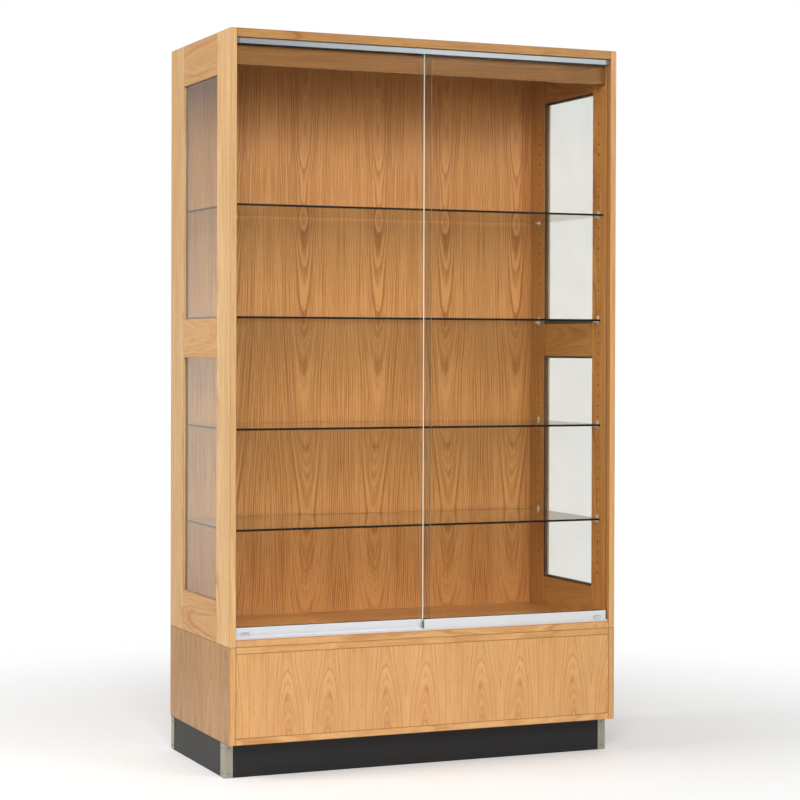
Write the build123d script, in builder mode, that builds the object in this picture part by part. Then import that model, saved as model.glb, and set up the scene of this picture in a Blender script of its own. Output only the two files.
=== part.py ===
"""Free-standing oak display case: glazed upper case with sliding glass doors on a closed base.

Units are millimetres. X runs left to right, Y from front to back and Z up. The origin is on the
floor, at the centre of the overall width and depth. The doors face -Y.
"""
from build123d import *
import os

os.makedirs("parts", exist_ok=True)

# ---------------------------------------------------------------- overall size
width = 1219.2
depth = 558.8
height = 2108.2
toe_height = 100.0
base_height = 275.0

# ---------------------------------------------------------------- boards
board = 19.0
edge_ease = 0.6
top_rail_height = 25.0
floor_thickness = 20.0
back_thickness = 6.0
back_inset = 16.0
groove_depth = 6.0
groove_play = 0.2
groove_end_play = 0.5

# ---------------------------------------------------------------- side frames
front_stile = 120.0
back_stile = 128.0
top_rail = 120.0
mid_rail = 114.0
bottom_rail = 120.0
glazing_lip = 6.0
rabbet = 6.0
side_glass = 4.0
side_glass_play = 1.0
retainer = 4.5
retainer_width = 5.0
retainer_joint = 0.2

# ---------------------------------------------------------------- sliding doors and their tracks
track_front = 8.0
track_width = 28.0
track_wall = 2.0
upper_track_height = 16.0
track_cap_length = 12.0
lower_lip_height = 5.5
lower_lip = 1.5
rib_height = 8.0
rib_width = 2.0
door_spacing = 13.0
door_glass = 6.0
glass_arris = 0.5
door_overlap = 28.0
door_gap = 2.0
door_entry = 9.0
shoe_width = 10.5
shoe_wall = 1.1
shoe_gap = 4.0
shoe_height = 28.0
shoe_web = 1.2
shoe_web_height = 18.5
cap_length = 3.0
cap_proud = 1.0
cap_rib_clearance = 4.0
gasket_play = 0.05
gasket_floor = 1.0
gasket_proud = 1.0
valance_drop = 57.0
pull_length = 30.0
pull_height = 14.0
pull_rim = 2.0
pull_wall = 1.0
pull_fillet = 0.4
pull_proud = 1.2
pull_depth = 3.0
pull_floor = 0.8
pull_play = 0.2
pull_from_end = 33.0

# ---------------------------------------------------------------- door wheels
wheel_width = 6.0
wheel_groove = 3.0
wheel_flange_radius = 7.5
wheel_tread_radius = 6.0
wheel_play = 0.3
wheel_from_end = 95.0
axle_radius = 1.5
axle_running_play = 0.05
axle_seat_play = 0.02
axle_short = 0.3

# ---------------------------------------------------------------- shelves and their clips
shelf_glass = 6.0
shelf_side_play = 2.5
shelf_setback = 57.0
shelf_depth = 468.0
top_shelf_forward = 16.0
pin_pitch = 31.75
pin_hole_radius = 3.2
pin_hole_depth = 10.0
pin_holes = 44
first_pin_height = 157.75
front_pin_setback = 76.0
back_pin_inset = 84.8
shelf_levels = (5, 14, 24, 34)
pin_radius = 3.0
pin_length = 9.0
clip_plate = 1.5
clip_width = 10.0
clip_ledge_length = 12.0
clip_ledge = 3.0
clip_tab = 10.0
clip_below = 7.0

# ---------------------------------------------------------------- toe kick and its guards
toe_recess = 50.0
guard_inset = 1.5
guard = 1.5
guard_gap = 2.0
guard_front_leg = 26.0
guard_side_leg = 32.0
guard_radius = 4.5
guard_screw_margin = 13.0
screw_head_radius = 3.2
screw_head = 1.2
screw_radius = 1.5
screw_length = 12.0
screw_play = 0.15
guard_hole_play = 0.3
joining_radius = 3.0
joining_head_radius = 6.5
joining_head = 4.0
joining_bite = 12.0
joining_play = 0.2
joining_side_inset = 70.0
joining_end_inset = 80.0

# ---------------------------------------------------------------- places worked out from the sizes
front = -depth / 2
back = depth / 2
outer_face = width / 2
inner_face = outer_face - board
case_bottom = toe_height + base_height
case_floor = case_bottom + floor_thickness
top_underside = height - board
door_head = height - top_rail_height
glass_seat = outer_face - glazing_lip
glass_inner = glass_seat - side_glass

opening_front = front + front_stile
opening_back = back - back_stile
window_height = (height - case_bottom - top_rail - mid_rail - bottom_rail) / 2
lower_window = (case_bottom + bottom_rail, case_bottom + bottom_rail + window_height)
upper_window = (height - top_rail - window_height, height - top_rail)
windows = {"lower": lower_window, "upper": upper_window}

panel_rear = back - back_inset
panel_front = panel_rear - back_thickness
track_rear = front + track_front + track_width
front_line = front + track_front + (track_width - door_spacing) / 2
door_lines = {"right": front_line, "left": front_line + door_spacing}
track_floor = case_floor + track_wall
rib_top = case_floor + rib_height

shoe_bottom = case_floor + shoe_gap
shoe_top = shoe_bottom + shoe_height
web_bottom = shoe_bottom + shoe_web_height
web_top = web_bottom + shoe_web
glass_bottom = web_top + gasket_floor
glass_top = door_head - upper_track_height + door_entry
door_end = inner_face - door_gap
door_width = door_end + door_overlap / 2
axle_height = rib_top + wheel_play + wheel_tread_radius
pull_height_at = shoe_bottom + (web_bottom - shoe_bottom) / 2

toe_face = outer_face - guard_inset
toe_front = front + toe_recess
toe_back = back - guard_inset
toe_top = toe_height


def block(x, y, z, mode=Mode.ADD):
    """Add or cut a box that spans the two values given along each axis."""
    with Locations(((x[0] + x[1]) / 2, (y[0] + y[1]) / 2, (z[0] + z[1]) / 2)):
        Box(abs(x[1] - x[0]), abs(y[1] - y[0]), abs(z[1] - z[0]), mode=mode)


def bar(y, z, mode=Mode.ADD):
    """Add or cut a rectangle in a cross-section that is drawn looking along X."""
    with Locations(((y[0] + y[1]) / 2, (z[0] + z[1]) / 2)):
        Rectangle(abs(y[1] - y[0]), abs(z[1] - z[0]), mode=mode)


def section_plane(x):
    """Plane across the case at x, with Y to the right and Z up."""
    return Plane(origin=(x, 0, 0), x_dir=(0, 1, 0), z_dir=(1, 0, 0))


def save(piece, label):
    """Name a finished piece and write it out."""
    piece.part.label = label
    export_step(piece.part, f"parts/{label}.step")


def plain_board(label, x, y, z):
    """A rectangular board with eased edges."""
    with BuildPart() as piece:
        block(x, y, z)
        chamfer(piece.edges(), edge_ease)
    save(piece, label)


# ---------------------------------------------------------------- side frames

def pin_heights():
    """Height of each shelf-pin hole."""
    return [case_bottom + first_pin_height + pin_pitch * step for step in range(pin_holes)]


pin_setbacks = {"front": front + front_pin_setback, "back": back - back_pin_inset}


def inward_plane(sign, y, z):
    """Plane on a side frame's inner face, facing the middle of the case."""
    return Plane(origin=(sign * inner_face, y, z), x_dir=(0, -sign, 0), z_dir=(-sign, 0, 0))


def make_stile(label, sign, y, rabbet_y, pin_y, grooved):
    """Upright of a side frame, with stopped rabbets for the glass and a column of pin holes."""
    with BuildPart() as stile:
        block((sign * inner_face, sign * outer_face), y, (case_bottom, height))
        chamfer(stile.edges(), edge_ease)
        for low, high in windows.values():
            rabbet_z = (low - rabbet, high + rabbet)
            block((sign * inner_face, sign * glass_seat), rabbet_y, rabbet_z, Mode.SUBTRACT)
        if grooved:
            groove_x = (sign * inner_face, sign * (inner_face + groove_depth))
            groove_y = (panel_front - groove_play, panel_rear + groove_play)
            groove_z = (case_floor - groove_depth, top_underside + groove_depth)
            block(groove_x, groove_y, groove_z, Mode.SUBTRACT)
        with Locations(*[inward_plane(sign, pin_y, z) for z in pin_heights()]):
            Hole(pin_hole_radius, pin_hole_depth)
    save(stile, label)


def make_rail(label, sign, z, rabbets):
    """Cross rail of a side frame, rabbeted along each edge that borders a window."""
    with BuildPart() as rail:
        y = (opening_front, opening_back)
        block((sign * inner_face, sign * outer_face), y, z)
        chamfer(rail.edges(), edge_ease)
        for rabbet_z in rabbets:
            block((sign * inner_face, sign * glass_seat), y, rabbet_z, Mode.SUBTRACT)
    save(rail, label)


def make_pane(label, sign, window):
    """Pane of side glass, seated against the lips of its rabbets."""
    with BuildPart() as pane:
        reach = rabbet - side_glass_play
        y = (opening_front - reach, opening_back + reach)
        z = (window[0] - reach, window[1] + reach)
        block((sign * glass_inner, sign * glass_seat), y, z)
    save(pane, label)


def make_retainers(label, sign):
    """Vinyl strips that hold both panes of a side frame from inside, four to a window."""
    with BuildPart() as strips:
        x = (sign * glass_inner, sign * (glass_inner - retainer))
        reach = rabbet - side_glass_play
        y = (opening_front - reach, opening_back + reach)
        for low, high in windows.values():
            z = (low - reach, high + reach)
            inner_z = (z[0] + retainer_width, z[1] - retainer_width)
            block(x, y, (z[0], inner_z[0]))
            block(x, y, (inner_z[1], z[1]))
            block(x, (y[0], y[0] + retainer_width), inner_z)
            block(x, (y[1] - retainer_width, y[1]), inner_z)
            # The uprights butt between the long strips, with a hairline at each joint.
            for joint in inner_z:
                block(x, y, (joint - retainer_joint / 2, joint + retainer_joint / 2), Mode.SUBTRACT)
    save(strips, label)


for side, sign in (("left", -1), ("right", 1)):
    make_stile(f"{side}_front_stile", sign, (front, opening_front), (opening_front - rabbet, opening_front),
               pin_setbacks["front"], grooved=False)
    make_stile(f"{side}_back_stile", sign, (opening_back, back), (opening_back, opening_back + rabbet),
               pin_setbacks["back"], grooved=True)
    make_rail(f"{side}_top_rail", sign, (upper_window[1], height),
              [(upper_window[1], upper_window[1] + rabbet)])
    make_rail(f"{side}_mid_rail", sign, (lower_window[1], upper_window[0]),
              [(lower_window[1], lower_window[1] + rabbet), (upper_window[0] - rabbet, upper_window[0])])
    make_rail(f"{side}_bottom_rail", sign, (case_bottom, lower_window[0]),
              [(lower_window[0] - rabbet, lower_window[0])])
    for level, window in windows.items():
        make_pane(f"{side}_{level}_glass", sign, window)
    make_retainers(f"{side}_glass_retainers", sign)

# ---------------------------------------------------------------- top, floor, back and valance

between_sides = (-inner_face, inner_face)
groove_y = (panel_front - groove_play, panel_rear + groove_play)
joining_places = [
    (sx * (inner_face - joining_side_inset), sy * (depth / 2 - joining_end_inset))
    for sx in (-1, 1)
    for sy in (-1, 1)
]

plain_board("top_front_rail", between_sides, (front, track_rear), (door_head, height))
plain_board("bottom_front_edging", between_sides, (front, track_rear), (case_bottom, case_floor))

with BuildPart() as top_panel:
    block(between_sides, (track_rear, back), (top_underside, height))
    chamfer(top_panel.edges(), edge_ease)
    block(between_sides, groove_y, (top_underside, top_underside + groove_depth), Mode.SUBTRACT)
save(top_panel, "top_panel")

with BuildPart() as bottom_panel:
    block(between_sides, (track_rear, back), (case_bottom, case_floor))
    chamfer(bottom_panel.edges(), edge_ease)
    block(between_sides, groove_y, (case_floor - groove_depth, case_floor), Mode.SUBTRACT)
    underside = Plane(origin=(0, 0, case_bottom), x_dir=(1, 0, 0), z_dir=(0, 0, -1))
    with Locations(underside):
        with Locations(*[(x, -y) for x, y in joining_places]):
            Hole(joining_radius + joining_play, joining_bite)
save(bottom_panel, "bottom_panel")

with BuildPart() as back_panel:
    tongue = groove_depth - groove_end_play
    block((-inner_face - tongue, inner_face + tongue), (panel_front, panel_rear),
          (case_floor - tongue, top_underside + tongue))
save(back_panel, "back_panel")

valance_bottom = door_head - upper_track_height - valance_drop
plain_board("valance", between_sides, (track_rear, track_rear + board), (valance_bottom, top_underside))

# ---------------------------------------------------------------- tracks

track_front_face = front + track_front
track_y = (track_front_face, track_rear)


def upper_track_section():
    """Section of the upper track: a web with three walls that hang down beside the doors."""
    bar(track_y, (door_head - track_wall, door_head))
    wall_z = (door_head - upper_track_height, door_head)
    middle = (track_y[0] + track_y[1]) / 2
    bar((track_y[0], track_y[0] + track_wall), wall_z)
    bar((middle - track_wall / 2, middle + track_wall / 2), wall_z)
    bar((track_y[1] - track_wall, track_y[1]), wall_z)


track_reach = inner_face - track_cap_length

with BuildPart() as upper_track:
    with BuildSketch(section_plane(-track_reach)):
        upper_track_section()
    extrude(amount=2 * track_reach)
save(upper_track, "upper_track")

with BuildPart() as upper_track_caps:
    for start in (-inner_face, track_reach):
        with BuildSketch(section_plane(start)):
            upper_track_section()
        extrude(amount=track_cap_length)
save(upper_track_caps, "upper_track_end_caps")

with BuildPart() as lower_track:
    with BuildSketch(section_plane(-inner_face)):
        bar(track_y, (case_floor, track_floor))
        for lip_y in ((track_y[0], track_y[0] + lower_lip), (track_y[1] - lower_lip, track_y[1])):
            bar(lip_y, (case_floor, case_floor + lower_lip_height))
        for line in door_lines.values():
            rib_shoulder = rib_top - rib_width / 2
            bar((line - rib_width / 2, line + rib_width / 2), (case_floor, rib_shoulder))
            with Locations((line, rib_shoulder)):
                Circle(rib_width / 2)
    extrude(amount=2 * inner_face)
save(lower_track, "lower_track")

# ---------------------------------------------------------------- sliding doors


def make_door_glass(label, x, line):
    """Frameless pane of one sliding door."""
    with BuildPart() as pane:
        block(x, (line - door_glass / 2, line + door_glass / 2), (glass_bottom, glass_top))
        chamfer(pane.edges(), glass_arris)
    save(pane, label)


def make_shoe(label, x, line, wheel_places, pull_place):
    """Aluminium shoe: an upper channel for the glass over a lower channel for the wheels."""
    with BuildPart() as shoe:
        with BuildSketch(section_plane(x[0] + cap_length)):
            bar((line - shoe_width / 2, line + shoe_width / 2), (shoe_bottom, shoe_top))
            inner_y = (line - shoe_width / 2 + shoe_wall, line + shoe_width / 2 - shoe_wall)
            bar(inner_y, (shoe_bottom, web_bottom), Mode.SUBTRACT)
            bar(inner_y, (web_top, shoe_top), Mode.SUBTRACT)
        extrude(amount=x[1] - x[0] - 2 * cap_length)
        for place in wheel_places:
            with Locations((place, line, axle_height)):
                Cylinder(axle_radius + axle_seat_play, 2 * shoe_width, rotation=(90, 0, 0), mode=Mode.SUBTRACT)
        with BuildSketch(pull_plane(pull_place, line)):
            SlotOverall(pull_length - 2 * pull_rim + pull_play, pull_height - 2 * pull_rim + pull_play)
        extrude(amount=-2 * shoe_wall, mode=Mode.SUBTRACT)
    save(shoe, label)


def make_gasket(label, x, line):
    """Vinyl channel that beds the glass in its shoe."""
    with BuildPart() as gasket:
        with BuildSketch(section_plane(x[0])):
            reach = shoe_width / 2 - shoe_wall - gasket_play
            bar((line - reach, line + reach), (web_top, shoe_top + gasket_proud))
            bar((line - door_glass / 2, line + door_glass / 2), (glass_bottom, shoe_top + gasket_proud),
                Mode.SUBTRACT)
        extrude(amount=x[1] - x[0])
    save(gasket, label)


def make_caps(label, x, line):
    """Plastic caps on both ends of a shoe, slotted for the glass above and the rib below."""
    with BuildPart() as caps:
        for start in (x[0], x[1] - cap_length):
            with BuildSketch(section_plane(start)):
                bar((line - shoe_width / 2, line + shoe_width / 2), (shoe_bottom, shoe_top + cap_proud))
                reach = shoe_width / 2 - shoe_wall
                bar((line - reach, line + reach), (web_top, shoe_top + cap_proud), Mode.SUBTRACT)
                rib_clear = wheel_groove
                bar((line - rib_clear, line + rib_clear), (shoe_bottom, rib_top + cap_rib_clearance), Mode.SUBTRACT)
            extrude(amount=cap_length)
    save(caps, label)


def pull_plane(x, line):
    """Plane on the front of a shoe, facing the user."""
    return Plane(origin=(x, line - shoe_width / 2, pull_height_at), x_dir=(1, 0, 0), z_dir=(0, -1, 0))


def make_pull(label, x, line):
    """Oblong finger pull: a raised rim round a shallow cup let into the shoe."""
    with BuildPart() as pull:
        face = pull_plane(x, line)
        with BuildSketch(face):
            SlotOverall(pull_length, pull_height)
        extrude(amount=pull_proud)
        with BuildSketch(face):
            SlotOverall(pull_length - 2 * pull_rim, pull_height - 2 * pull_rim)
        extrude(amount=-pull_depth)
        with BuildSketch(face.offset(pull_proud)):
            cup_inset = 2 * (pull_rim + pull_wall)
            SlotOverall(pull_length - cup_inset, pull_height - cup_inset)
        extrude(amount=-(pull_proud + pull_depth - pull_floor), mode=Mode.SUBTRACT)
        rim_edges = pull.faces().sort_by(Axis.Y)[0].edges()
        fillet(rim_edges, pull_fillet)
    save(pull, label)


def make_axles(label, wheel_places, line):
    """Steel pins that carry the wheels of one door."""
    with BuildPart() as axles:
        for place in wheel_places:
            with Locations((place, line, axle_height)):
                Cylinder(axle_radius, shoe_width - axle_short, rotation=(90, 0, 0))
    save(axles, label)


def make_wheel(label, x, line):
    """Grooved wheel that straddles a rib of the lower track."""
    with BuildPart() as wheel:
        bore = axle_radius + axle_running_play
        half = wheel_width / 2
        groove = wheel_groove / 2
        axial = Plane(origin=(x, line, axle_height), x_dir=(0, 1, 0), z_dir=(1, 0, 0))
        with BuildSketch(axial):
            with BuildLine():
                Polyline(
                    (-half, bore),
                    (-half, wheel_flange_radius),
                    (-groove, wheel_flange_radius),
                    (-groove, wheel_tread_radius),
                    (groove, wheel_tread_radius),
                    (groove, wheel_flange_radius),
                    (half, wheel_flange_radius),
                    (half, bore),
                    close=True,
                )
            make_face()
        revolve(axis=Axis((x, line, axle_height), (0, 1, 0)))
    save(wheel, label)


for side, sign in (("left", -1), ("right", 1)):
    line = door_lines[side]
    outer_end = sign * door_end
    inner_end = outer_end - sign * door_width
    door_x = (min(outer_end, inner_end), max(outer_end, inner_end))
    wheels = {
        "outer": outer_end - sign * wheel_from_end,
        "inner": inner_end + sign * wheel_from_end,
    }
    pull_x = outer_end - sign * pull_from_end
    make_door_glass(f"{side}_door_glass", door_x, line)
    make_shoe(f"{side}_door_shoe", door_x, line, wheels.values(), pull_x)
    make_gasket(f"{side}_door_gasket", door_x, line)
    make_caps(f"{side}_door_end_caps", door_x, line)
    make_pull(f"{side}_door_pull", pull_x, line)
    make_axles(f"{side}_door_axles", wheels.values(), line)
    for place, x in wheels.items():
        make_wheel(f"{side}_door_{place}_wheel", x, line)

# ---------------------------------------------------------------- shelves and clips

shelf_bottoms = [pin_heights()[level] + pin_radius for level in shelf_levels]
shelf_reach = inner_face - shelf_side_play

for number, shelf_bottom in enumerate(shelf_bottoms, start=1):
    forward = top_shelf_forward if number == len(shelf_bottoms) else 0
    with BuildPart() as shelf:
        shelf_front = front + shelf_setback - forward
        block((-shelf_reach, shelf_reach), (shelf_front, shelf_front + shelf_depth),
              (shelf_bottom, shelf_bottom + shelf_glass))
        chamfer(shelf.edges(), glass_arris)
    save(shelf, f"shelf_{number}")

with BuildPart() as clips:
    for sign in (-1, 1):
        for pin_y in pin_setbacks.values():
            clip_y = (pin_y - clip_width / 2, pin_y + clip_width / 2)
            for shelf_bottom in shelf_bottoms:
                plate_x = (sign * inner_face, sign * (inner_face - clip_plate))
                block(plate_x, clip_y, (shelf_bottom - clip_below, shelf_bottom + shelf_glass + clip_tab))
                ledge_x = (sign * inner_face, sign * (inner_face - clip_ledge_length))
                block(ledge_x, clip_y, (shelf_bottom - clip_ledge, shelf_bottom))
                with Locations(inward_plane(sign, pin_y, shelf_bottom - pin_radius)):
                    Cylinder(pin_radius, pin_length, align=(Align.CENTER, Align.CENTER, Align.MAX))
save(clips, "shelf_clips")

# ---------------------------------------------------------------- base cabinet

base_top = case_bottom
base_inner_z = (toe_height + board, base_top - board)

for side, sign in (("left", -1), ("right", 1)):
    plain_board(f"base_{side}_side", (sign * inner_face, sign * outer_face), (front, back),
                (toe_height, base_top))
plain_board("base_bottom_panel", between_sides, (front, back), (toe_height, base_inner_z[0]))
plain_board("base_front_panel", between_sides, (front, front + board), base_inner_z)
plain_board("base_back_panel", between_sides, (back - back_thickness, back), base_inner_z)

with BuildPart() as base_top_panel:
    block(between_sides, (front, back), (base_inner_z[1], base_top))
    chamfer(base_top_panel.edges(), edge_ease)
    with Locations(Plane.XY.offset(base_top)):
        with Locations(*joining_places):
            Hole(joining_radius + joining_play, board)
save(base_top_panel, "base_top_panel")

with BuildPart() as joining_screws:
    with BuildSketch(Plane.XY.offset(base_inner_z[1])):
        with Locations(*joining_places):
            RegularPolygon(joining_head_radius, 6)
    extrude(amount=-joining_head)
    with BuildSketch(Plane.XY.offset(base_inner_z[1])):
        with Locations(*joining_places):
            Circle(joining_radius)
    extrude(amount=board + joining_bite - joining_play)
save(joining_screws, "joining_screws")

# ---------------------------------------------------------------- toe kick, guards and screws

guard_top = toe_height - guard_gap
screw_heights = (guard_screw_margin, guard_top - guard_screw_margin)
board_face = toe_face - guard
board_front = toe_front + guard
board_back = toe_back - guard


def screw_planes():
    """Plane of each guard screw, on the guard's outer face and facing outwards."""
    planes = []
    for z in screw_heights:
        for sign in (-1, 1):
            x = sign * (toe_face - guard_front_leg / 2 - guard)
            planes.append(Plane(origin=(x, toe_front, z), x_dir=(1, 0, 0), z_dir=(0, -1, 0)))
            planes.append(Plane(origin=(x, toe_back, z), x_dir=(1, 0, 0), z_dir=(0, 1, 0)))
            for y in (toe_front + guard_side_leg / 2 + guard, toe_back - guard_side_leg / 2 - guard):
                planes.append(Plane(origin=(sign * toe_face, y, z), x_dir=(0, 1, 0), z_dir=(sign, 0, 0)))
    return planes


def drill_for_screws(play):
    """Cut the guard screws' holes in the piece being built."""
    with Locations(*screw_planes()):
        Cylinder(screw_radius + play, 2 * screw_length, mode=Mode.SUBTRACT)


with BuildPart() as toe_side_boards:
    for sign in (-1, 1):
        block((sign * board_face, sign * (board_face - board)), (board_front, board_back), (0, toe_top))
    upright = toe_side_boards.edges().filter_by(Axis.Z)
    outer_corners = upright.filter_by(lambda edge: abs(edge.center().X) > board_face - board / 2)
    fillet(outer_corners, guard_radius - guard)
    drill_for_screws(screw_play)
save(toe_side_boards, "toe_side_boards")

for label, y in (("toe_front_board", (board_front, board_front + board)),
                 ("toe_back_board", (board_back - board, board_back))):
    with BuildPart() as toe_board:
        block((-board_face + board, board_face - board), y, (0, toe_top))
        drill_for_screws(screw_play)
    save(toe_board, label)

with BuildPart() as corner_guards:
    with BuildSketch(Plane.XY) as guard_ring:
        with Locations((0, (toe_front + toe_back) / 2)):
            RectangleRounded(2 * toe_face, toe_back - toe_front, guard_radius)
            RectangleRounded(2 * board_face, board_back - board_front, guard_radius - guard,
                             mode=Mode.SUBTRACT)
            Rectangle(2 * (toe_face - guard_front_leg), 2 * depth, mode=Mode.SUBTRACT)
            Rectangle(2 * width, toe_back - toe_front - 2 * guard_side_leg, mode=Mode.SUBTRACT)
    extrude(amount=guard_top)
    drill_for_screws(guard_hole_play)
save(corner_guards, "corner_guards")

with BuildPart() as guard_screws:
    with Locations(*screw_planes()):
        Cylinder(screw_radius, screw_length, align=(Align.CENTER, Align.CENTER, Align.MAX))
        Cylinder(screw_head_radius, screw_head, align=(Align.CENTER, Align.CENTER, Align.MIN))
save(guard_screws, "guard_screws")
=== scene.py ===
"""Looks for the oak display case: lacquered oak, glass, aluminium, vinyl and a black toe kick.

Lengths are metres in the row frame: X left to right, Y front to back, Z up. The doors face -Y.
"""
import math

import bpy
from mathutils import Matrix, Vector


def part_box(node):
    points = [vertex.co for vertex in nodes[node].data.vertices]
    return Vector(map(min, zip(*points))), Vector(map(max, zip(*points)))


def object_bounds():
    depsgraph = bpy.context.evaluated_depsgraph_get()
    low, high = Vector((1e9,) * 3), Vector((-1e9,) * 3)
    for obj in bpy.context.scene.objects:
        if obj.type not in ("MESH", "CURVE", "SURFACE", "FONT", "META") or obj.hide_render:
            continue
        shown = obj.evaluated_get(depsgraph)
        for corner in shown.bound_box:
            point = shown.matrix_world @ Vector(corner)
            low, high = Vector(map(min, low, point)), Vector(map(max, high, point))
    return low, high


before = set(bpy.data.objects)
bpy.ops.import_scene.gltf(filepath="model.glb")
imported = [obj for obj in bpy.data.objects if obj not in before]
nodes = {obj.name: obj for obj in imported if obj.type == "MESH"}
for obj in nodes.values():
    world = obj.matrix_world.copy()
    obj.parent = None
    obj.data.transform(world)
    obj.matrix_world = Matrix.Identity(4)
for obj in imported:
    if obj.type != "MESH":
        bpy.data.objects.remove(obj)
cad_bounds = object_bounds()

scene = bpy.context.scene
scene.view_settings.view_transform = "Standard"


# ---------------------------------------------------------------- node graphs

class Graph:
    """Short calls that add nodes to one tree. An input may be a number, a colour or a socket."""

    def __init__(self, tree):
        self.tree = tree

    def feed(self, socket, value):
        """Links a socket or sets a constant. None leaves the input at its default."""
        if isinstance(value, bpy.types.NodeSocket):
            self.tree.links.new(value, socket)
        elif value is not None:
            socket.default_value = value

    def node(self, kind, inputs=(), **settings):
        """Adds a node with the given settings, and feeds its inputs by name or number."""
        made = self.tree.nodes.new(kind)
        for name, value in settings.items():
            setattr(made, name, value)
        for key, value in dict(inputs).items():
            self.feed(made.inputs[key], value)
        return made

    def math(self, operation, a, b=None, c=None, clamp=False):
        made = self.node("ShaderNodeMath", {0: a, 1: b, 2: c}, operation=operation, use_clamp=clamp)
        return made.outputs[0]

    def vector(self, x, y, z):
        return self.node("ShaderNodeCombineXYZ", {0: x, 1: y, 2: z}).outputs[0]

    def noise(self, vector, scale=1.0, detail=2.0, roughness=0.5):
        inputs = {"Vector": vector, "Scale": scale, "Detail": detail, "Roughness": roughness}
        return self.node("ShaderNodeTexNoise", inputs).outputs["Fac"]

    def random(self, value):
        """A number from 0 to 1 that is different for each value."""
        made = self.node("ShaderNodeTexWhiteNoise", {"W": value}, noise_dimensions="1D")
        return made.outputs["Value"]

    def remap(self, value, low, high, to_low=0.0, to_high=1.0, smooth=True):
        inputs = {0: value, 1: low, 2: high, 3: to_low, 4: to_high}
        kind = "SMOOTHSTEP" if smooth else "LINEAR"
        return self.node("ShaderNodeMapRange", inputs, interpolation_type=kind).outputs[0]

    def blend(self, factor, a, b, kind="MIX"):
        inputs = {0: factor, 6: a, 7: b}
        return self.node("ShaderNodeMix", inputs, data_type="RGBA", blend_type=kind).outputs[2]

    def shade(self, colour, value):
        """A colour made lighter or darker by a factor."""
        return self.node("ShaderNodeHueSaturation", {"Color": colour, "Value": value}).outputs[0]

    def mix_shaders(self, factor, a, b):
        return self.node("ShaderNodeMixShader", {0: factor, 1: a, 2: b}).outputs[0]

    def position(self):
        """Object coordinates, which are the row frame's for a part at rest."""
        return self.node("ShaderNodeTexCoord").outputs["Object"]

    def facing(self, axis):
        """How far the surface faces along one row axis, from -1 to 1."""
        return self.split(self.node("ShaderNodeTexCoord").outputs["Normal"])[axis]

    def split(self, vector):
        return self.node("ShaderNodeSeparateXYZ", {0: vector}).outputs

    def stretched(self, vector, scales):
        """A vector with each axis multiplied by its own scale."""
        parts = self.split(vector)
        return self.vector(*[self.math("MULTIPLY", parts[i], scales[i]) for i in range(3)])

    def bump(self, height, distance, strength):
        inputs = {"Height": height, "Distance": distance, "Strength": strength}
        return self.node("ShaderNodeBump", inputs).outputs[0]


def rgb(red, green, blue):
    """A colour given as sRGB 0-255 values, made linear."""
    linear = [((v / 255 + 0.055) / 1.055) ** 2.4 if v > 10 else v / 255 / 12.92 for v in (red, green, blue)]
    return (*linear, 1.0)


def new_material(name):
    """An empty material, its graph and its output node."""
    material = bpy.data.materials.new(name)
    material.use_nodes = True
    material.node_tree.nodes.clear()
    graph = Graph(material.node_tree)
    output = graph.node("ShaderNodeOutputMaterial")
    return material, graph, output


def principled(graph, **values):
    """A Principled shader; names use _ for spaces."""
    inputs = {name.replace("_", " "): value for name, value in values.items()}
    return graph.node("ShaderNodeBsdfPrincipled", inputs).outputs[0]


def dress(material, *names):
    """Puts one material on several CAD nodes."""
    for name in names:
        nodes[name].data.materials.clear()
        nodes[name].data.materials.append(material)


# ---------------------------------------------------------------- oak

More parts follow.
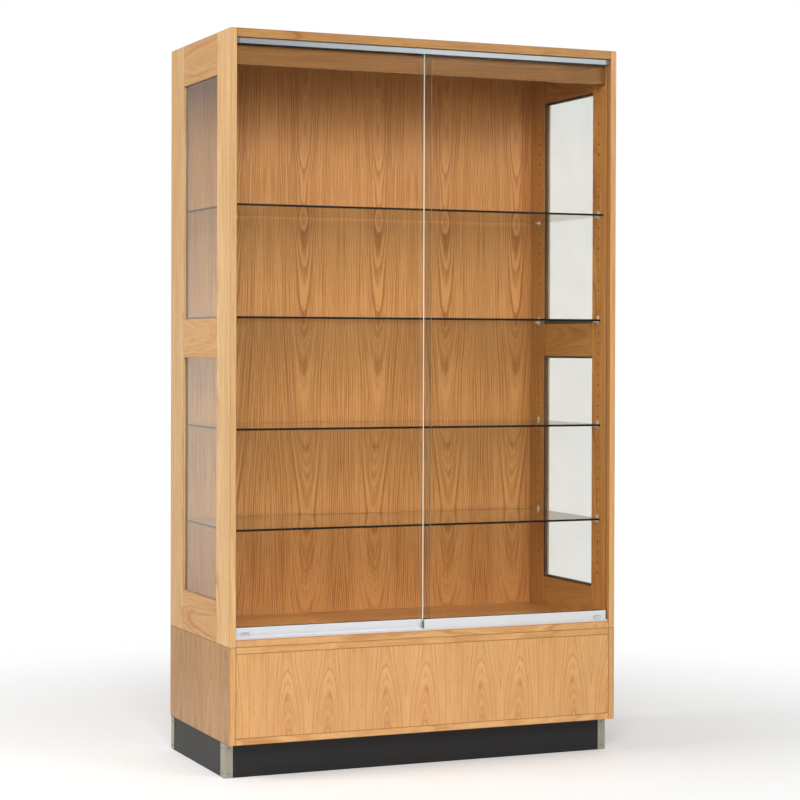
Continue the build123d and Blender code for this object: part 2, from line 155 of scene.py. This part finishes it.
def oak_group():
    """Growth rings, pores and flecks of plain-sawn oak, in the board's own directions."""
    group = bpy.data.node_groups.new("oak_figure", "ShaderNodeTree")
    for name in ("Along", "Across", "Deep", "Pith", "Tilt", "Ring", "Seed", "Wander"):
        group.interface.new_socket(name, in_out="INPUT", socket_type="NodeSocketFloat")
    for name in ("Rings", "Pores", "Streaks", "Clouds", "Flecks"):
        group.interface.new_socket(name, in_out="OUTPUT", socket_type="NodeSocketFloat")
    g = Graph(group)
    given = g.node("NodeGroupInput").outputs
    along, across, deep = (given[name] for name in ("Along", "Across", "Deep"))
    seed = given["Seed"]

    def scaled(value, times):
        return g.math("MULTIPLY", value, times)

    # The pith wanders slowly along the log, so that the figure never repeats.
    sway_reach = scaled(given["Wander"], 0.05)
    lift_reach = scaled(given["Wander"], 0.016)
    ripple_height = 0.0028
    sway_at = g.vector(scaled(across, 2.2), scaled(along, 1.1), seed)
    sway = g.math("SUBTRACT", g.noise(sway_at, detail=1.0), 0.5)
    lift_at = g.vector(g.math("ADD", seed, 31.7), scaled(along, 2.6), 0.0)
    lift = g.math("SUBTRACT", g.noise(lift_at, detail=2.0), 0.5)
    ripple_at = g.vector(scaled(across, 30.0), scaled(along, 6.5), g.math("ADD", seed, 5.3))
    ripple = g.math("SUBTRACT", g.noise(ripple_at, detail=3.0, roughness=0.55), 0.5)
    side = g.math("MULTIPLY_ADD", sway, sway_reach, across)
    depth = g.math("MULTIPLY_ADD", along, given["Tilt"], g.math("ADD", deep, given["Pith"]))
    depth = g.math("MULTIPLY_ADD", lift, lift_reach, depth)
    radius = g.math("SQRT", g.math("ADD", g.math("POWER", side, 2.0), g.math("POWER", depth, 2.0)))
    radius = g.math("MULTIPLY_ADD", ripple, ripple_height, radius)

    # Rings differ in width and in how dark their porous earlywood is.
    uneven = g.noise(g.vector(scaled(radius, 70.0), seed, 0.0), detail=1.0)
    phase = g.math("MULTIPLY_ADD", uneven, 2.2, g.math("DIVIDE", radius, given["Ring"]))
    part = g.math("FRACT", phase)
    ring_random = g.random(g.math("ADD", g.math("FLOOR", phase), seed))
    darkness = g.remap(ring_random, 0.0, 1.0, 0.25, 1.5, smooth=False)
    onset = g.remap(part, 0.0, 0.12)
    fade = g.math("POWER", g.math("SUBTRACT", 1.0, part), 2.2)
    rings = g.math("MULTIPLY", g.math("MULTIPLY", onset, fade), darkness)

    # Open pores are short dashes along the grain, thickest in the earlywood.
    pore_at = g.vector(scaled(across, 900.0), scaled(deep, 900.0), scaled(along, 38.0))
    pores = g.remap(g.noise(pore_at, detail=2.0), 0.56, 0.72)
    pores = g.math("MULTIPLY", pores, g.math("MULTIPLY_ADD", rings, 0.8, 0.3))

    # Streaks run partly straight along the board and partly with the rings.
    slant = g.math("MULTIPLY_ADD", along, 9.0, seed)
    straight_at = g.vector(scaled(across, 400.0), scaled(deep, 200.0), slant)
    straight = g.noise(straight_at, detail=2.0, roughness=0.6)
    curved_at = g.vector(scaled(radius, 480.0), scaled(along, 3.5), seed)
    curved = g.noise(curved_at, detail=2.0, roughness=0.65)
    streaks = g.remap(g.math("MULTIPLY_ADD", curved, 0.62, scaled(straight, 0.38)), 0.34, 0.66)

    # Clouds are wide soft changes of tone. Flecks are the small marks of the rays.
    cloud_at = g.vector(scaled(across, 11.0), scaled(along, 1.6), seed)
    clouds = g.noise(cloud_at, detail=2.0)
    fleck_at = g.vector(scaled(across, 330.0), scaled(along, 120.0), seed)
    flecks = g.remap(g.noise(fleck_at, detail=1.0), 0.66, 0.78)

    results = {"Rings": rings, "Pores": pores, "Streaks": streaks, "Clouds": clouds, "Flecks": flecks}
    g.node("NodeGroupOutput", results)
    return group


OAK_FIGURE = oak_group()
HONEY = {"light": rgb(236, 194, 138), "dark": rgb(204, 148, 90), "pore": rgb(140, 90, 48)}
AMBER = {"light": rgb(234, 182, 122), "dark": rgb(198, 136, 78), "pore": rgb(136, 84, 44)}
RUSSET = {"light": rgb(206, 145, 84), "dark": rgb(162, 101, 50), "pore": rgb(112, 62, 28)}
# Darker palette that paints shade on faces inside the case and on the walls of pin holes and grooves.
INSIDE_SHADE = {"light": rgb(200, 140, 74), "dark": rgb(156, 98, 44), "pore": rgb(96, 52, 22)}
GOLD = {"light": rgb(206, 152, 86), "dark": rgb(166, 112, 56), "pore": rgb(116, 70, 32)}
UMBER = {"light": rgb(162, 106, 42), "dark": rgb(126, 80, 28), "pore": rgb(84, 50, 22)}
# Colour for darkened arrises: lacquer build-up together with painted shade in the joint grooves.
SEAM_AND_SHADE = rgb(120, 72, 36)


ARRIS_INNER = 0.0006
ARRIS_OUTER = 0.002
CUT_DEPTH = 0.0002
FRONT_DEPTH = 0.0003
MIDDLE_TONE = 0.4
LEAF_SPREAD = 0.07


def face_gaps(g, axes, low, high):
    """The distance to the nearer face of a board's box, along each row axis."""
    gaps = []
    for axis, start, end in zip("XYZ", low, high):
        offset = g.math("ABSOLUTE", g.math("SUBTRACT", axes[axis], (start + end) / 2))
        gaps.append(g.math("SUBTRACT", (end - start) / 2, offset))
    return gaps


def edge_mask(g, axes, low, high):
    """1 along the arrises of a board's box, 0 a couple of millimetres away from them."""
    gaps = face_gaps(g, axes, low, high)
    least = g.math("MINIMUM", gaps[0], gaps[1])
    most = g.math("MAXIMUM", gaps[0], gaps[1])
    second = g.math("MAXIMUM", least, g.math("MINIMUM", most, gaps[2]))
    return g.remap(second, ARRIS_INNER, ARRIS_OUTER, 1.0, 0.0)


def cut_mask(g, axes, low, high):
    """1 on surfaces inside a board's box, such as the walls of its pin holes and grooves."""
    gaps = face_gaps(g, axes, low, high)
    least = g.math("MINIMUM", g.math("MINIMUM", gaps[0], gaps[1]), gaps[2])
    return g.math("GREATER_THAN", least, CUT_DEPTH)


def oak(node, grain, across, palette, seed, pith=0.09, tilt=0.03, ring=0.0027, wander=1.0, leaf=0.0,
        leaf_start=0.0, crown=0.5, offset=0.0, shade=1.0, seam_and_shade=0.3, grain_contrast=1.0, inward=0.0,
        front_shade=0.0):
    """Gives a CAD board lacquered oak. grain and across name row axes.

    pith is the depth of the log's centre, tilt its slope along the board, offset its shift to the side,
    ring the width of a growth ring and wander how much the figure sways. leaf is the width of one veneer
    leaf, which mirrors its neighbour, and crown is where in a leaf its figure is centred. inward is the X
    direction of the board's face inside the case, which gets a darker palette as painted shade, as do the
    walls of the board's pin holes and grooves. front_shade, when given, is the shade of the board's front
    edge, kept brighter while the lower shade paints shade on the rest of the board.
    """
    material, g, output = new_material(f"oak_{node}")
    low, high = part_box(node)
    axes = dict(zip("XYZ", g.split(g.position())))
    deep_axis = (set("XYZ") - {grain, across}).pop()
    centre = dict(zip("XYZ", (low + high) / 2))
    along = g.math("SUBTRACT", axes[grain], centre[grain])
    deep = g.math("SUBTRACT", axes[deep_axis], centre[deep_axis])
    side = g.math("SUBTRACT", axes[across], centre[across] + offset)
    leaf_tone = 0.5
    if leaf:
        left_edge = dict(zip("XYZ", low))[across] + leaf_start
        from_edge = g.math("SUBTRACT", axes[across], left_edge)
        side = g.math("SUBTRACT", g.math("PINGPONG", from_edge, leaf), leaf * crown)
        leaf_number = g.math("ADD", g.math("FLOOR", g.math("DIVIDE", from_edge, leaf)), seed)
        leaf_tone = g.random(leaf_number)
    figure = g.node("ShaderNodeGroup", node_tree=OAK_FIGURE)
    values = {"Along": along, "Across": side, "Deep": deep, "Pith": pith, "Tilt": tilt, "Ring": ring,
              "Seed": seed, "Wander": wander}
    for name, value in values.items():
        g.feed(figure.inputs[name], value)
    made = figure.outputs

    tone = g.math("MULTIPLY_ADD", made["Clouds"], 0.6, -0.35)
    tone = g.math("MULTIPLY_ADD", made["Streaks"], 0.62, tone)
    tone = g.math("MULTIPLY_ADD", made["Rings"], 0.5, tone)
    tone = g.math("SUBTRACT", tone, MIDDLE_TONE)
    tone = g.math("MULTIPLY_ADD", tone, grain_contrast, MIDDLE_TONE, clamp=True)
    colour = g.blend(tone, palette["light"], palette["dark"])
    # Faces turned into the case take a darker palette, which is painted shade.
    if inward:
        inside = g.math("GREATER_THAN", g.math("MULTIPLY", g.facing("X"), inward), 0.5)
        inner_shade_colour = g.blend(tone, INSIDE_SHADE["light"], INSIDE_SHADE["dark"])
        colour = g.blend(inside, colour, inner_shade_colour)
        # Walls of pin holes and grooves take the dark pore colour: painted shade in the recesses.
        colour = g.blend(cut_mask(g, axes, low, high), colour, INSIDE_SHADE["pore"])
    colour = g.blend(g.math("MULTIPLY", made["Pores"], 0.6), colour, palette["pore"])
    colour = g.blend(g.math("MULTIPLY", made["Flecks"], 0.16), colour, palette["dark"])
    # Arrises are darkened: lacquer build-up together with painted shade in the joint grooves.
    colour = g.blend(g.math("MULTIPLY", edge_mask(g, axes, low, high), seam_and_shade), colour, SEAM_AND_SHADE)

    bright = g.math("MULTIPLY_ADD", leaf_tone, LEAF_SPREAD, shade * (1 - LEAF_SPREAD / 2))
    # The front edge keeps front_shade; the rest of the board keeps the lower shade, painted shade on its
    # side faces.
    if front_shade:
        at_front = g.math("LESS_THAN", g.math("SUBTRACT", axes["Y"], low.y), FRONT_DEPTH)
        bright = g.math("MULTIPLY_ADD", at_front, front_shade - shade, bright)
    rough = g.math("MULTIPLY_ADD", made["Clouds"], 0.1, 0.34)
    rough = g.math("MULTIPLY_ADD", made["Pores"], 0.18, rough)
    height = g.math("MULTIPLY_ADD", made["Pores"], -1.0, g.math("MULTIPLY", made["Rings"], -0.3))
    lacquered = principled(g, Base_Color=g.shade(colour, bright), Roughness=rough, IOR=1.42,
                           Specular_IOR_Level=0.32, Coat_Weight=0.06, Coat_Roughness=0.22,
                           Normal=g.bump(height, 0.0003, 0.35))
    g.feed(output.inputs[0], lacquered)
    dress(material, node)


for side, shift, stile, inward in (("left", 0.0, HONEY, 1.0), ("right", 40.0, AMBER, -1.0)):
    oak(f"{side}_front_stile", "Z", "Y", stile, 3.1 + shift, pith=0.16, tilt=0.012, offset=0.05,
        shade=1.03, inward=inward)
    oak(f"{side}_back_stile", "Z", "Y", HONEY, 7.7 + shift, pith=0.13, tilt=-0.014, offset=-0.06,
        shade=0.9, inward=inward)
    oak(f"{side}_top_rail", "Y", "Z", AMBER, 11.3 + shift, pith=0.2, tilt=0.012, wander=0.5,
        shade=0.85, grain_contrast=0.8, inward=inward)
    oak(f"{side}_mid_rail", "Y", "Z", AMBER, 14.9 + shift, pith=0.21, tilt=-0.012, offset=0.02,
        wander=0.5, shade=0.92, grain_contrast=0.8, inward=inward)
    oak(f"{side}_bottom_rail", "Y", "Z", AMBER, 18.2 + shift, pith=0.19, tilt=0.014, offset=-0.015,
        wander=0.5, shade=0.86, grain_contrast=0.8, inward=inward)
    # The base sides' low shade paints shade on their side faces; front_shade keeps their front edges at the
    # front's brightness.
    oak(f"base_{side}_side", "Z", "Y", AMBER, 61.0 + shift, pith=0.12, tilt=0.03, leaf=0.14,
        leaf_start=-0.04, shade=0.6, front_shade=0.98, seam_and_shade=0.4)

oak("top_front_rail", "X", "Z", GOLD, 22.4, pith=0.16, tilt=0.008, shade=0.96)
oak("bottom_front_edging", "X", "Z", AMBER, 25.8, pith=0.10, tilt=-0.01, seam_and_shade=0.5)
# Darker palette and low shade: a deeper board tone together with painted shade from the top rail and track
# above.
oak("valance", "X", "Z", UMBER, 29.6, pith=0.14, tilt=0.012, offset=0.03, shade=0.78)
oak("top_panel", "X", "Y", HONEY, 33.5, pith=0.11, tilt=0.02, leaf=0.19, leaf_start=-0.05)
oak("bottom_panel", "X", "Y", RUSSET, 37.9, pith=0.12, tilt=0.015, leaf=0.2, leaf_start=-0.03)
oak("back_panel", "Z", "X", RUSSET, 41.2, pith=0.062, tilt=-0.045, ring=0.005, leaf=0.24, leaf_start=-0.19,
    shade=1.1, grain_contrast=1.6)
oak("base_front_panel", "Z", "X", AMBER, 45.6, pith=0.05, tilt=0.07, ring=0.0036, leaf=0.151,
    leaf_start=-0.085, crown=0.42, seam_and_shade=0.5, grain_contrast=0.9)
oak("base_top_panel", "X", "Z", AMBER, 49.3, pith=0.10, tilt=0.01, seam_and_shade=0.5)
oak("base_bottom_panel", "X", "Z", AMBER, 53.1, pith=0.12, tilt=-0.012, seam_and_shade=0.5)


# ---------------------------------------------------------------- glass

CLEAR_SHADOW = (0.86, 0.88, 0.865, 1.0)
DOOR_SHADOW = (0.80, 0.81, 0.80, 1.0)
# Painted reflection of the oak, the colour of a glass edge seen from inside the pane.
EDGE_FROM_WITHIN = rgb(92, 66, 40)
GLASS_IOR = 1.5
FLAT_FACE = 0.9


def glass(name, tint, shadow, edge, face_axis, glow=0.0):
    """Clear float glass whose cut edges show a given colour. face_axis is normal to the pane's faces.

    The edges are near-black green on the shelves and grey-green on the side panes. On the doors they are a
    near-white painted highlight with a faint painted glow, for light carried in the glass. An edge seen
    from inside the pane is a dull brown, a painted reflection of the oak. A shadow ray passes straight
    through, dimmed by the shadow colour.
    """
    material, g, output = new_material(name)
    place = g.position()
    film = g.remap(g.noise(place, scale=7.0, detail=3.0), 0.3, 0.8, 0.97, 1.0)
    pane = principled(g, Base_Color=g.blend(1.0, tint, film, kind="MULTIPLY"), Roughness=0.0,
                      IOR=GLASS_IOR, Transmission_Weight=1.0)
    grind = g.noise(place, scale=900.0, detail=2.0)
    bright_edge = (*[channel * 1.5 for channel in edge[:3]], 1.0)
    from_within = g.node("ShaderNodeNewGeometry").outputs["Backfacing"]
    edge_colour = g.blend(from_within, g.blend(grind, edge, bright_edge), EDGE_FROM_WITHIN)
    # Seen from outside, the edges carry a painted glow.
    glow_outside = g.math("MULTIPLY_ADD", from_within, -glow, glow)
    cut = principled(g, Base_Color=edge_colour, Roughness=0.5, IOR=GLASS_IOR, Specular_IOR_Level=0.2,
                     Emission_Color=edge, Emission_Strength=glow_outside, Normal=g.bump(grind, 0.0001, 0.2))
    is_face = g.math("GREATER_THAN", g.math("ABSOLUTE", g.facing(face_axis)), FLAT_FACE)
    body = g.mix_shaders(is_face, cut, pane)
    clear = g.node("ShaderNodeBsdfTransparent", {"Color": shadow}).outputs[0]
    casting = g.node("ShaderNodeLightPath").outputs["Is Shadow Ray"]
    g.feed(output.inputs[0], g.mix_shaders(casting, body, clear))
    return material


shelf_glass = glass("shelf_glass", (0.955, 0.985, 0.975, 1.0), CLEAR_SHADOW, rgb(6, 10, 8), "Z")
# The door edges' near-white colour and glow are a painted highlight.
door_glass = glass("door_glass", (0.975, 0.99, 0.98, 1.0), DOOR_SHADOW, rgb(232, 238, 226), "Y", glow=0.05)
side_glass = glass("side_glass", (0.968, 0.992, 0.975, 1.0), CLEAR_SHADOW, rgb(60, 84, 76), "X")
dress(shelf_glass, *[f"shelf_{number}" for number in range(1, 5)])
dress(door_glass, "left_door_glass", "right_door_glass")
dress(side_glass, *[f"{side}_{level}_glass" for side in ("left", "right") for level in ("upper", "lower")])


# ---------------------------------------------------------------- metals

LINES_ALONG = 6.0
LINES_ACROSS = 1400.0


def brushed(name, colour, grain, roughness, contrast=0.12, clouds=0.08, metallic=1.0):
    """Metal with fine drawn lines along one row axis and soft handling marks."""
    material, g, output = new_material(name)
    scales = [LINES_ALONG if axis == grain else LINES_ACROSS for axis in "XYZ"]
    lines = g.noise(g.stretched(g.position(), scales), detail=3.0, roughness=0.6)
    marks = g.noise(g.position(), scale=9.0, detail=4.0)
    tone = g.math("MULTIPLY_ADD", marks, clouds, 1 - (contrast + clouds) / 2)
    tone = g.math("MULTIPLY_ADD", lines, contrast, tone)
    rough = g.math("MULTIPLY_ADD", marks, 0.1, roughness - 0.11)
    rough = g.math("MULTIPLY_ADD", lines, 0.12, rough)
    metal = principled(g, Base_Color=g.shade(colour, tone), Metallic=metallic, Roughness=rough,
                       Normal=g.bump(lines, 0.00005, 0.25))
    g.feed(output.inputs[0], metal)
    return material


aluminium = brushed("anodised_aluminium", rgb(250, 252, 255), "X", 0.36, metallic=0.26)
track_aluminium = brushed("track_aluminium", rgb(146, 151, 155), "X", 0.34, metallic=0.7)
pull_metal = brushed("pull_metal", rgb(236, 239, 242), "X", 0.34, metallic=0.4)
guard_metal = brushed("guard_metal", rgb(178, 174, 160), "Z", 0.42, contrast=0.2, clouds=0.14)
zinc_plate = brushed("zinc_plate", rgb(150, 148, 140), "Z", 0.38)
dress(aluminium, "lower_track", "left_door_shoe", "right_door_shoe", "left_door_axles", "right_door_axles")
dress(track_aluminium, "upper_track")
dress(pull_metal, "left_door_pull", "right_door_pull")
dress(guard_metal, "corner_guards")
dress(zinc_plate, "guard_screws", "joining_screws")


# ---------------------------------------------------------------- plastics, rubber and boards

def moulded(name, colour, roughness, speck_scale, bump, variation=0.12, stretch=(1.0, 1.0, 1.0)):
    """Moulded or laminated plastic: a fine surface texture with slight tone changes."""
    material, g, output = new_material(name)
    place = g.stretched(g.position(), stretch)
    specks = g.noise(place, scale=speck_scale, detail=3.0, roughness=0.6)
    soft = g.noise(place, scale=6.0, detail=3.0)
    tone = g.math("MULTIPLY_ADD", soft, variation, 1 - variation)
    tone = g.math("MULTIPLY_ADD", specks, variation, tone)
    rough = g.math("MULTIPLY_ADD", specks, 0.08, roughness - 0.11)
    rough = g.math("MULTIPLY_ADD", soft, 0.14, rough)
    plastic = principled(g, Base_Color=g.shade(colour, tone), Roughness=rough, IOR=1.48,
                         Normal=g.bump(specks, bump, 0.4))
    g.feed(output.inputs[0], plastic)
    return material


def clear_plastic():
    """Milky clear plastic of the shelf clips."""
    material, g, output = new_material("clear_plastic")
    haze = g.noise(g.position(), scale=420.0, detail=2.0)
    plastic = principled(g, Base_Color=(0.93, 0.94, 0.94, 1.0), Roughness=0.12, IOR=1.49,
                         Transmission_Weight=0.35, Normal=g.bump(haze, 0.00006, 0.3))
    g.feed(output.inputs[0], plastic)
    return material


retainer_vinyl = moulded("retainer_vinyl", rgb(88, 80, 74), 0.55, 500.0, 0.0001)
gasket_vinyl = moulded("gasket_vinyl", rgb(58, 56, 54), 0.5, 700.0, 0.0001)
cap_plastic = moulded("cap_plastic", rgb(108, 110, 112), 0.45, 600.0, 0.00008)
nylon = moulded("nylon", rgb(232, 230, 220), 0.4, 500.0, 0.00005, variation=0.05)
black_laminate = moulded("black_laminate", rgb(17, 17, 18), 0.5, 420.0, 0.00012, variation=0.22,
                         stretch=(1.0, 1.0, 0.35))
hardboard = moulded("hardboard", rgb(136, 102, 70), 0.75, 260.0, 0.0002, variation=0.25)
dress(retainer_vinyl, "left_glass_retainers", "right_glass_retainers")
dress(gasket_vinyl, "left_door_gasket", "right_door_gasket")
dress(cap_plastic, "left_door_end_caps", "right_door_end_caps", "upper_track_end_caps")
dress(nylon, "left_door_outer_wheel", "left_door_inner_wheel", "right_door_outer_wheel",
      "right_door_inner_wheel")
dress(black_laminate, "toe_front_board", "toe_back_board", "toe_side_boards")
dress(hardboard, "base_back_panel")
dress(clear_plastic(), "shelf_clips")


# ---------------------------------------------------------------- studio

WHITE = (1.0, 1.0, 1.0, 1.0)
WARM_WHITE = (1.0, 0.95, 0.87, 1.0)


def make_floor(reach, fade_start, fade_end):
    """Pale floor that melts into the white surroundings away from the case."""
    mesh = bpy.data.meshes.new("floor")
    corners = [(-reach, -reach, 0), (reach, -reach, 0), (reach, reach, 0), (-reach, reach, 0)]
    mesh.from_pydata(corners, [], [(0, 1, 2, 3)])
    floor = bpy.data.objects.new("floor", mesh)
    scene.collection.objects.link(floor)
    material, g, output = new_material("floor")
    paper = g.noise(g.position(), scale=40.0, detail=4.0)
    colour = g.blend(paper, (0.93, 0.93, 0.925, 1.0), (0.95, 0.95, 0.945, 1.0))
    matt = principled(g, Base_Color=colour, Roughness=0.7, Specular_IOR_Level=0.2,
                      Emission_Color=WHITE, Emission_Strength=0.2)
    away = g.node("ShaderNodeVectorMath", {0: g.position()}, operation="LENGTH").outputs["Value"]
    clear = g.node("ShaderNodeBsdfTransparent").outputs[0]
    g.feed(output.inputs[0], g.mix_shaders(g.remap(away, fade_start, fade_end), matt, clear))
    mesh.materials.append(material)


def make_world(background, front, behind, mirrored_front, mirrored_wall, mirrored_sweep):
    """White to the camera, also through glass. Boards are lit by a dim front and a brighter back.

    Reflections see a dark room in front, with a paler wall high on the right, and behind the case a warm
    sweep that is brightest just below eye level. Places are parts of a direction of length 1.
    """
    eye_drop = 0.035
    sweep_core, sweep_edge = 0.02, 0.14
    wall_left, wall_right = 0.33, 0.46
    wall_foot, wall_top = 0.126, 0.131
    world = bpy.data.worlds.new("studio")
    world.use_nodes = True
    world.node_tree.nodes.clear()
    g = Graph(world.node_tree)
    path = g.node("ShaderNodeLightPath").outputs
    glossy = path["Is Glossy Ray"]
    unbounced = g.math("LESS_THAN", g.math("ADD", path["Diffuse Depth"], path["Glossy Depth"]), 0.5)
    through = g.math("MULTIPLY", path["Is Transmission Ray"], unbounced)
    seen = g.math("MAXIMUM", path["Is Camera Ray"], through)
    direction = g.split(g.node("ShaderNodeTexCoord").outputs["Generated"])

    ambient = g.remap(direction["Y"], -0.5, 0.6, front, behind)
    below_eye = g.math("ABSOLUTE", g.math("ADD", direction["Z"], eye_drop))
    sweep = g.remap(below_eye, sweep_core, sweep_edge, mirrored_sweep, behind)
    to_right = g.remap(direction["X"], wall_left, wall_right)
    above_doors = g.remap(direction["Z"], wall_foot, wall_top)
    on_wall = g.math("MULTIPLY", to_right, above_doors)
    wall = g.math("MULTIPLY_ADD", on_wall, mirrored_wall, mirrored_front)
    is_behind = g.remap(direction["Y"], -0.6, 0.1)
    mirrored = g.math("MULTIPLY_ADD", is_behind, g.math("SUBTRACT", sweep, wall), wall)
    unseen = g.math("MULTIPLY_ADD", glossy, g.math("SUBTRACT", mirrored, ambient), ambient)
    strength = g.math("MULTIPLY_ADD", seen, g.math("SUBTRACT", background, unseen), unseen)
    unlit = g.math("SUBTRACT", 1.0, seen)
    warmth = g.math("MULTIPLY", unlit, g.math("MULTIPLY", glossy, is_behind))
    colour = g.blend(warmth, WHITE, WARM_WHITE)
    light = g.node("ShaderNodeBackground", {"Color": colour, "Strength": strength})
    output = g.node("ShaderNodeOutputWorld")
    g.feed(output.inputs[0], light.outputs[0])
    scene.world = world


def softbox(name, place, target, width, height, power):
    """Rectangular soft white light aimed at a point. The camera doesn't see it."""
    lamp = bpy.data.lights.new(name, "AREA")
    lamp.shape = "RECTANGLE"
    lamp.size = width
    lamp.size_y = height
    lamp.energy = power
    box = bpy.data.objects.new(name, lamp)
    box.location = place
    box.rotation_euler = (Vector(target) - Vector(place)).to_track_quat("-Z", "Y").to_euler()
    box.visible_camera = False
    scene.collection.objects.link(box)


def make_camera():
    """Camera in front and to the left of the case, at chest height, looking almost level."""
    yaw = math.radians(23.062)
    pitch = math.radians(-0.589)
    roll = math.radians(0.173)
    to_left = 2.5589
    distance = 5.789
    eye_height = 1.217
    camera_data = bpy.data.cameras.new("camera")
    camera_data.sensor_width = 36.0
    camera_data.lens = 98.208
    camera_data.shift_y = -0.037775
    camera = bpy.data.objects.new("camera", camera_data)
    forward = Vector((math.sin(yaw) * math.cos(pitch), math.cos(yaw) * math.cos(pitch), math.sin(pitch)))
    level_right = Vector((math.cos(yaw), -math.sin(yaw), 0.0))
    level_up = level_right.cross(forward)
    right = level_right * math.cos(roll) + level_up * math.sin(roll)
    up = right.cross(forward)
    pose = Matrix((right, up, -forward)).transposed().to_4x4()
    pose.translation = Vector((-to_left, cad_bounds[0].y - distance, eye_height))
    camera.matrix_world = pose
    scene.collection.objects.link(camera)
    scene.camera = camera


CASE_MIDDLE = (0.0, 0.0, 1.1)
SIDE_MIDDLE = (0.0, 0.0, 1.2)

make_floor(reach=14.0, fade_start=0.8, fade_end=2.6)
make_world(background=1.0, front=0.24, behind=0.46, mirrored_front=0.06, mirrored_wall=0.3,
           mirrored_sweep=0.84)
softbox("key", (-1.9, -4.6, 2.8), CASE_MIDDLE, width=1.8, height=1.6, power=126.0)
softbox("high", (2.3, -4.5, 3.4), CASE_MIDDLE, width=1.6, height=0.8, power=60.0)
softbox("side", (-4.6, 0.2, 2.9), SIDE_MIDDLE, width=2.0, height=2.4, power=105.0)
make_camera()
